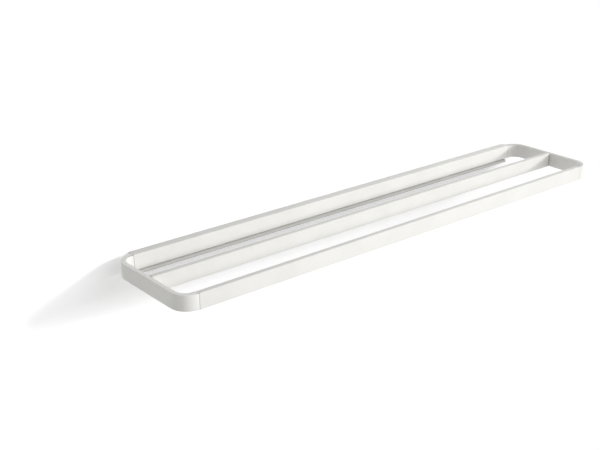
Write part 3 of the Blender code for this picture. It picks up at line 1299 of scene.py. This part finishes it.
@dataclass(frozen=True)
class Thread:
    """A screw's thread.

    Attributes:
        root_radius: radius at the bottom of the thread.
        crest_radius: radius at its crest.
        pitch: how far one turn climbs.
        crest_share: width of the crest as a share of the pitch.
        flank_share: width of the ridge at its root as a share of the pitch.
        turn_steps: how many facets one turn gets.
    """

    root_radius: float
    crest_radius: float
    pitch: float
    crest_share: float = 0.1
    flank_share: float = 0.6
    turn_steps: int = 32

    def ridge(self, low: float, high: float, fade: float) -> Shape:
        """The ridge that winds round the core, along local Z.

        Args:
            low: where it starts.
            high: where it ends.
            fade: length over which it grows from the core at each end.

        Returns:
            A closed shape that overlaps the core.
        """
        shape = bmesh.new()
        steps = max(1, round((high - low) / self.pitch * self.turn_steps))
        sunk_radius = self.root_radius - (self.crest_radius - self.root_radius) / 2
        rings: list[list[bmesh.types.BMVert]] = []
        for step in range(steps + 1):
            height = low + (high - low) * step / steps
            growth = min(1.0, (height - low) / fade, (high - height) / fade)
            crest = self.root_radius + (self.crest_radius - self.root_radius) * growth
            angle = math.tau * step / self.turn_steps
            flank, top = self.flank_share / 2, self.crest_share / 2
            places = ((sunk_radius, -flank), (crest, -top), (crest, top), (sunk_radius, flank))
            corners = [
                (radius * math.cos(angle), radius * math.sin(angle), height + share * self.pitch)
                for radius, share in places
            ]
            rings.append([shape.verts.new(corner) for corner in corners])
        for ring, following in zip(rings, rings[1:]):
            for index in range(len(ring)):
                after = (index + 1) % len(ring)
                shape.faces.new((ring[index], ring[after], following[after], following[index]))
        shape.faces.new(rings[0])
        shape.faces.new(rings[-1])
        turn_outward(shape)
        return shape


@dataclass
class WallFixing(Piece):
    """A piece that stands in the wall, with its front end towards the room."""

    @property
    def length(self) -> float:
        """Length from its front end to its back end."""
        return self.high.y - self.low.y

    @property
    def place(self) -> Matrix:
        """Where its local frame lies: its front end at 0, local Z out from the wall."""
        middle = self.middle
        return Matrix.Translation((middle.x, self.low.y, middle.z)) @ facing_out()


@dataclass
class WallScrew(WallFixing):
    """A countersunk wood screw with a tapered cross recess.

    Attributes:
        thread: its thread.
        head_rim: height of the head's straight rim.
        tip_length: length of the point.
        tip_radius: radius of the point's end.
        plain_length: length of the shank without a thread, under the head.
        recess_span: span of the cross recess at the face.
        recess_width: width of its arms.
        recess_depth: depth of the recess.
        recess_taper_share: span at the recess's bottom as a share of that at the face.
    """

    thread: Thread = Thread(root_radius=0.00135, crest_radius=0.0019, pitch=0.0018)
    head_rim: float = 0.0002
    tip_length: float = 0.005
    tip_radius: float = 0.0002
    plain_length: float = 0.004
    recess_span: float = 0.0038
    recess_width: float = 0.0009
    recess_depth: float = 0.0016
    recess_taper_share: float = 0.55

    def body(self) -> Shape:
        """The screw before its Booleans, in world coordinates.

        Returns:
            The screw's shape.
        """
        head = (self.high.x - self.low.x) / 2
        core = self.thread.root_radius
        cone = head - core
        length = self.length
        turned = lathe(
            [
                (0, 0),
                (head - self.head_rim / 2, 0),
                (head, -self.head_rim / 2),
                (head, -self.head_rim),
                (core, -self.head_rim - cone),
                (core, -length + self.tip_length),
                (self.tip_radius, -length + self.tip_radius),
                (0, -length),
            ]
        )
        turned.transform(self.place)
        return turned

    def cuts(self) -> list[Cut]:
        """The two arms of the cross recess, and the thread.

        Returns:
            The Booleans.
        """
        cuts = []
        for angle in (0.0, QUARTER_TURN):
            arm = self.recess_arm()
            arm.transform(self.place @ Matrix.Rotation(angle, 4, "Z"))
            cuts.append(Cut(CutKind.REMOVE, arm))
        fade = self.tip_length / 2
        ridge = self.thread.ridge(-self.length + fade, -self.plain_length, fade)
        ridge.transform(self.place)
        return [*cuts, Cut(CutKind.JOIN, ridge)]

    def recess_arm(self) -> Shape:
        """One arm of the recess, which narrows downwards, in the screw's local frame.

        Returns:
            The shape to remove.
        """
        half = self.recess_span / 2
        foot = half * self.recess_taper_share
        rise = half + (half - foot) * CUT_OVERRUN / self.recess_depth
        side_view = [
            (-foot, -self.recess_depth),
            (foot, -self.recess_depth),
            (rise, CUT_OVERRUN),
            (-rise, CUT_OVERRUN),
        ]
        shape = prism([side_view], -self.recess_width / 2, self.recess_width / 2)
        shape.transform(facing_out())
        return shape


@dataclass
class LockingScrew(Piece):
    """The headless screw under the rail, with a hexagon socket in its lower end.

    Attributes:
        thread: its thread.
        chamfer: the bevel at both ends.
        socket_flats: width of the socket across its flats.
        socket_depth: depth of the socket.
    """

    thread: Thread = Thread(root_radius=0.0017, crest_radius=0.002, pitch=0.0007)
    chamfer: float = 0.0004
    socket_flats: float = 0.002
    socket_depth: float = 0.002

    @property
    def foot(self) -> Vector:
        """The middle of the screw's lower end."""
        return Vector((self.middle.x, self.middle.y, self.low.z))

    def body(self) -> Shape:
        """The screw before its Booleans, in world coordinates.

        Returns:
            The screw's shape.
        """
        length = self.high.z - self.low.z
        core = self.thread.root_radius
        turned = lathe(
            [
                (0, length),
                (core - self.chamfer / 2, length),
                (core, length - self.chamfer / 2),
                (core, self.chamfer / 2),
                (core - self.chamfer / 2, 0),
                (0, 0),
            ]
        )
        turned.transform(Matrix.Translation(self.foot))
        return turned

    def cuts(self) -> list[Cut]:
        """The hexagon socket, and the thread.

        Returns:
            The Booleans.
        """
        sides = 6
        radius = self.socket_flats / 2 / math.cos(math.pi / sides)
        points = [
            (radius * math.cos(math.tau * side / sides), radius * math.sin(math.tau * side / sides))
            for side in range(sides)
        ]
        socket = prism([points], -CUT_OVERRUN, self.socket_depth)
        socket.transform(Matrix.Translation(self.foot))
        inset = self.thread.pitch / 2
        ridge = self.thread.ridge(inset, self.high.z - self.low.z - inset, self.chamfer)
        ridge.transform(Matrix.Translation(self.foot))
        return [Cut(CutKind.REMOVE, socket), Cut(CutKind.JOIN, ridge)]


@dataclass
class WallPlug(WallFixing):
    """A nylon wall plug with ribs, a split that lets it spread, and fins that stop it turning.

    Attributes:
        bore_radius: radius of the bore.
        end_wall: thickness of the closed end.
        collar: length of the plain stretch at the mouth.
        ribs: how many ribs there are.
        rib_depth: depth of the grooves between them.
        rib_round: rounding of the ribs' edges.
        tip_radius: radius of the closed end.
        split_width: width of the split.
        split_share: length of the split as a share of the plug's.
        fin_thickness: thickness of a fin.
        fin_height: how far a fin stands out of the grooves.
    """

    bore_radius: float = 0.00205
    end_wall: float = 0.0015
    collar: float = 0.004
    ribs: int = 4
    rib_depth: float = 0.0004
    rib_round: float = 0.0001
    tip_radius: float = 0.002
    split_width: float = 0.0006
    split_share: float = 0.55
    fin_thickness: float = 0.0007
    fin_height: float = 0.0004

    @property
    def radius(self) -> float:
        """Radius over the ribs."""
        return (self.high.x - self.low.x) / 2

    def body(self) -> Shape:
        """The plug before its Booleans, in world coordinates.

        Returns:
            The plug's shape.
        """
        length, radius = self.length, self.radius
        groove = radius - self.rib_depth
        profile: list[Point] = [
            (0, -length + self.end_wall),
            (self.bore_radius, -length + self.end_wall + self.bore_radius),
            (self.bore_radius, -self.rib_round),
            (self.bore_radius + self.rib_round, 0),
            (radius - self.rib_round, 0),
            (radius, -self.rib_round),
            (radius, -self.collar),
        ]
        pitch = (length - 2 * self.collar) / self.ribs
        for rib in range(self.ribs):
            top = -self.collar - rib * pitch
            profile += [
                (groove, top - self.rib_depth),
                (groove, top - pitch / 2),
                (radius - self.rib_round, top - pitch + self.rib_depth + self.rib_round),
                (radius, top - pitch + self.rib_depth),
                (radius, top - pitch),
            ]
        profile += [(self.tip_radius, -length), (0, -length)]
        shape = lathe(profile)
        shape.transform(self.place)
        return shape

    def cuts(self) -> list[Cut]:
        """The fins at two sides, and the split across the other two.

        Returns:
            The Booleans.
        """
        groove = self.radius - self.rib_depth
        bottom = -self.length + self.collar
        fins = []
        side = self.fin_thickness / 2
        for outward in (-1, 1):
            ends = (outward * (groove - self.rib_depth), outward * (groove + self.fin_height))
            section = rectangle((min(ends), -side), (max(ends), side), 0.0)
            fin = prism([section], bottom, -self.collar / 2)
            fin.transform(self.place)
            fins.append(Cut(CutKind.JOIN, fin))
        reach = self.radius + CUT_OVERRUN
        half = self.split_width / 2
        centre = -self.length / 2
        span = self.length * self.split_share / 2
        slit = rectangle((-half, -reach), (half, reach), 0.0)
        split = prism([slit], centre - span, centre + span)
        split.transform(self.place)
        return [*fins, Cut(CutKind.REMOVE, split)]


@dataclass(frozen=True)
class Lamp:
    """A far, round lamp.

    Attributes:
        label: its name.
        towards: the direction from the object to the lamp.
        strength: the light on a surface that faces it.
        width: the lamp's angle across, as the object sees it.
    """

    label: str
    towards: tuple[float, float, float]
    strength: float
    width: float

    def hang(self) -> None:
        """Put the lamp into the scene."""
        data = bpy.data.lights.new(self.label, "SUN")
        data.energy = self.strength
        data.angle = self.width
        lamp = bpy.data.objects.new(self.label, data)
        lamp.rotation_euler = Vector(self.towards).to_track_quat("Z", "Y").to_euler()
        bpy.context.scene.collection.objects.link(lamp)


@dataclass(frozen=True)
class Camera:
    """The camera of the photograph.

    Attributes:
        place: where it stands.
        heading: its turn from the wall's normal towards +X.
        dip: how far it looks down.
        lens: focal length in millimetres on the sensor below.
        sensor: width of the sensor in millimetres.
    """

    place: tuple[float, float, float] = (-0.75243, -0.83276, 0.41525)
    heading: float = math.radians(39.7152)
    dip: float = math.radians(21.6453)
    lens: float = 62.5759
    sensor: float = 36.0

    def stand(self) -> None:
        """Put the camera into the scene and make it the one in use."""
        data = bpy.data.cameras.new("camera")
        data.lens = self.lens
        data.sensor_width = self.sensor
        camera = bpy.data.objects.new("camera", data)
        camera.location = self.place
        camera.rotation_euler = (QUARTER_TURN - self.dip, 0, -self.heading)
        bpy.context.scene.collection.objects.link(camera)
        bpy.context.scene.camera = camera


@dataclass(frozen=True)
class Wall:
    """The pale wall that the rail is screwed to.

    Only what looks at its front sees it. Everything else passes through and meets the world, which
    is as bright as the wall on that side, so the hidden side of the object is lit.

    Attributes:
        half_width: how far it reaches to each side.
        top: how high it reaches.
        bottom: how low it reaches.
        colour: its paint.
        roughness: roughness of the paint.
        glow: how much paler than its paint it looks to the camera, so that shadows on it stay soft.
    """

    half_width: float = 4.0
    top: float = 3.0
    bottom: float = -0.9
    colour: Colour = (0.95, 0.95, 0.95)
    roughness: float = 0.9
    glow: float = 0.15

    def material(self) -> bpy.types.Material:
        """The wall's paint, which shows only to the camera and from the front.

        Returns:
            The material.
        """
        made, graph = new_material("wall_paint")
        front = glowing_paint(graph, self.colour, self.roughness, self.glow)[1]
        clear = graph.add("BsdfTransparent").outputs["BSDF"]
        seen = graph.add("LightPath").outputs["Is Camera Ray"]
        front_only = graph.add("Math", operation="SUBTRACT", use_clamp=True)
        graph.join(seen, front_only.inputs[0])
        graph.join(graph.add("NewGeometry").outputs["Backfacing"], front_only.inputs[1])
        graph.finish(graph.choose(front_only.outputs["Value"], clear, front))
        return made

    def build(self) -> None:
        """Put the wall up behind the rail."""
        corners = [
            (-self.half_width, 0, self.bottom),
            (self.half_width, 0, self.bottom),
            (self.half_width, 0, self.top),
            (-self.half_width, 0, self.top),
        ]
        stage_sheet("wall", corners, self.material())


@dataclass(frozen=True)
class Floor:
    """The plain pale floor, well below the object.

    Attributes:
        half_width: how far it reaches each way.
        height: its height.
        colour: its colour.
        roughness: its roughness.
        glow: how much paler than its paint it looks to the camera.
    """

    half_width: float = 4.0
    height: float = -0.9
    colour: Colour = (0.9, 0.9, 0.9)
    roughness: float = 0.9
    glow: float = 0.32

    def build(self) -> None:
        """Lay the floor."""
        made, graph = new_material("floor_paint")
        plain, pale = glowing_paint(graph, self.colour, self.roughness, self.glow)
        seen = graph.add("LightPath").outputs["Is Camera Ray"]
        graph.finish(graph.choose(seen, plain, pale))
        half, height = self.half_width, self.height
        corners = [
            (-half, -half, height),
            (half, -half, height),
            (half, half, height),
            (-half, half, height),
        ]
        stage_sheet("floor", corners, made)


def glowing_paint(
    graph: Graph, colour: Colour, roughness: float, glow: float
) -> tuple[Socket, Socket]:
    """Matt paint, plain and with a faint glow added to it.

    Args:
        graph: the material's nodes.
        colour: the paint's colour.
        roughness: its roughness.
        glow: strength of the glow.

    Returns:
        The shader of the plain paint, and the one with the glow.
    """
    paint = graph.add("BsdfDiffuse")
    graph.feed(colour, paint.inputs["Color"])
    graph.feed(roughness, paint.inputs["Roughness"])
    shine = graph.add("Emission")
    shine.inputs["Strength"].default_value = glow
    both = graph.add("AddShader")
    graph.join(paint.outputs["BSDF"], both.inputs[0])
    graph.join(shine.outputs["Emission"], both.inputs[1])
    return paint.outputs["BSDF"], both.outputs["Shader"]


def stage_sheet(
    name: str, corners: Sequence[tuple[float, float, float]], material: bpy.types.Material
) -> None:
    """Lay a flat sheet that isn't part of the object.

    Args:
        name: its name.
        corners: its corners, anticlockwise seen from its front.
        material: its material.
    """
    mesh = bpy.data.meshes.new(name)
    mesh.from_pydata(list(corners), [], [tuple(range(len(corners)))])
    mesh.materials.append(material)
    sheet = bpy.data.objects.new(name, mesh)
    bpy.context.scene.collection.objects.link(sheet)


@dataclass(frozen=True)
class Glow:
    """Soft light from one side of the room.

    Attributes:
        towards: the direction from the object to its middle.
        strength: its brightness in the middle.
        focus: how quickly it fades away from the middle, where 1 fills half the room.
    """

    towards: tuple[float, float, float]
    strength: float
    focus: float = 1.0


@dataclass(frozen=True)
class Room:
    """The soft light of the room, which differs from side to side.

    Attributes:
        glows: the soft lights that the room is made of.
        seen: what the camera, reflections and clear surfaces see beyond the wall and the floor.
    """

    glows: tuple[Glow, ...] = (
        Glow((0.253, -0.779, 0.574), 1.95, focus=6.0),
        Glow((0.453, -0.785, -0.423), 2.05, focus=6.0),
        Glow((0.0, 1.0, 0.0), 1.14),
        Glow((-1.0, 0.0, 0.0), 0.28),
    )
    seen: float = 1.0

    def build(self) -> None:
        """Make the world and put it in use."""
        world = bpy.data.worlds.new("room")
        world.use_nodes = True
        bpy.context.scene.world = world
        graph = Graph(world.node_tree)
        direction = graph.add("TexCoord").outputs["Generated"]
        total: Socket | float = 0.0
        for glow in self.glows:
            facing = graph.add("VectorMath", operation="DOT_PRODUCT")
            facing.inputs[1].default_value = glow.towards
            graph.join(direction, facing.inputs[0])
            share = graph.maths("MAXIMUM", facing.outputs["Value"], 0.0)
            focused = graph.maths("POWER", share, glow.focus)
            total = graph.maths("MULTIPLY_ADD", focused, glow.strength, total)
        path = graph.add("LightPath")
        mirrored = graph.maths(
            "MAXIMUM", path.outputs["Is Glossy Ray"], path.outputs["Is Transmission Ray"]
        )
        direct = graph.maths("MAXIMUM", path.outputs["Is Camera Ray"], mirrored)
        lit = self.backdrop(graph, total)
        shown = self.backdrop(graph, self.seen)
        graph.finish(graph.choose(direct, lit, shown), "OutputWorld")

    @staticmethod
    def backdrop(graph: Graph, strength: Socket | float) -> Socket:
        """A white world shader of a given strength.

        Args:
            graph: the world's nodes.
            strength: how bright it is.

        Returns:
            The shader.
        """
        white = graph.add("Background")
        white.inputs["Color"].default_value = WHITE
        graph.feed(strength, white.inputs["Strength"])
        return white.outputs["Background"]


@dataclass(frozen=True)
class Studio:
    """Everything round the object: wall, floor, room, lamps and camera."""

    wall: Wall = Wall()
    floor: Floor = Floor()
    room: Room = Room()
    lamps: tuple[Lamp, ...] = (
        Lamp("main_lamp", (0.651, -0.724, 0.228), 1.33, math.radians(9)),
        Lamp("second_lamp", (0.504, -0.807, 0.309), 0.22, math.radians(14)),
    )
    camera: Camera = Camera()

    def build(self) -> None:
        """Build the studio and set how colours are shown."""
        self.camera.stand()
        self.wall.build()
        self.floor.build()
        self.room.build()
        for lamp in self.lamps:
            lamp.hang()
        bpy.context.scene.view_settings.view_transform = "Standard"


@dataclass
class TowelBar:
    """The whole towel bar, as a list of its pieces.

    Attributes:
        coat: the powder coat of the frame.
        rail_finish_with_painted_shade: the greyer powder coat of the rail, with the shade on its
            ledge painted in.
        steel: the steel of the screws.
        nylon: the nylon of the plugs.
        fixings: how many wall screws and plugs there are.
    """

    coat: Finish = field(default_factory=PowderCoat)
    rail_finish_with_painted_shade: Finish = field(default_factory=shaded_powder_for_rail)
    steel: Finish = field(default_factory=TurnedSteel)
    nylon: Finish = field(default_factory=MouldedNylon)
    fixings: int = 4

    def frame_pieces(self) -> list[Piece]:
        """The bars, the end pieces and the rail.

        Returns:
            The pieces.
        """
        ends: list[Piece] = [
            EndPiece(f"{side.label}_end_piece", Slot.COAT, self.coat, side=side) for side in Side
        ]
        bars: list[Piece] = [
            HollowBar("front_bar", Slot.COAT, self.coat),
            HollowBar("middle_bar", Slot.COAT, self.coat),
            BackBar("back_bar", Slot.COAT, self.coat),
        ]
        return [*ends, *bars, WallRail("wall_rail", Slot.COAT, self.rail_finish_with_painted_shade)]

    def fixing_pieces(self) -> list[Piece]:
        """The locking screw, and the wall screws with their plugs.

        Returns:
            The pieces.
        """
        pieces: list[Piece] = [LockingScrew("locking_screw", Slot.STEEL, self.steel)]
        for number in range(1, self.fixings + 1):
            pieces.append(WallScrew(f"wall_screw_{number}", Slot.STEEL, self.steel))
            pieces.append(WallPlug(f"wall_plug_{number}", Slot.NYLON, self.nylon))
        return pieces

    def build(self) -> list[bpy.types.Object]:
        """Build every piece.

        Returns:
            The pieces' objects.
        """
        return [piece.make() for piece in [*self.frame_pieces(), *self.fixing_pieces()]]


def main() -> None:
    """Build the towel bar and the studio round it, and report each piece."""
    logging.basicConfig(level=logging.INFO, format="%(name)s %(message)s")
    pieces = TowelBar().build()
    LOG.info("%d pieces", len(pieces))
    Studio().build()


if __name__ == "__main__":
    main()
